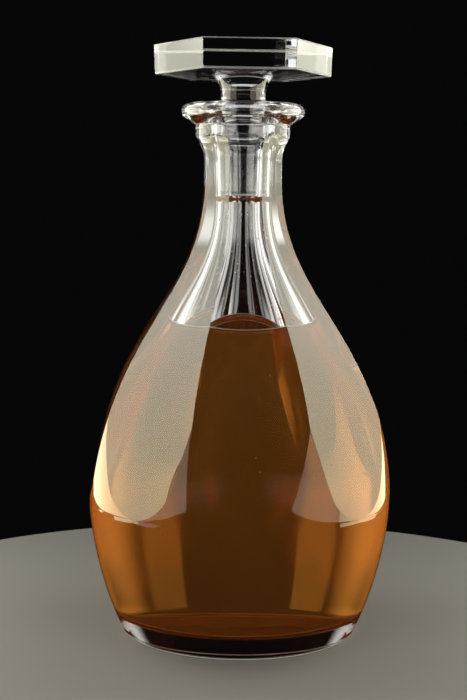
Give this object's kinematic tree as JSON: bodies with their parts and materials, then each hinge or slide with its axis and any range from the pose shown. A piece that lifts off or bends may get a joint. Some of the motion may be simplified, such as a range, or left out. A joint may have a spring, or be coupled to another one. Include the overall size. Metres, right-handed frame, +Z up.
{
  "type": "decanter",
  "caption": "Round-bellied cut-glass decanter with flat flutes up its shoulder and neck, a flat hexagonal glass stopper and a brown drink inside.",
  "frame": {"origin": "centre of the foot, on the surface that the decanter stands on", "axes": "+Z up the vessel's axis of turning, -Y towards the middle of one flute and one side of the hexagonal head"},
  "size_m": [0.13, 0.13, 0.25],
  "materials": {
    "vessel_glass": "clear polished cut glass",
    "stopper_glass": "clear polished glass with a ground plug",
    "drink": "clear brown liquid"
  },
  "bodies": {
    "root": {"decanter": "vessel_glass", "stopper": "stopper_glass", "drink": "drink"}
  },
  "joints": []
}
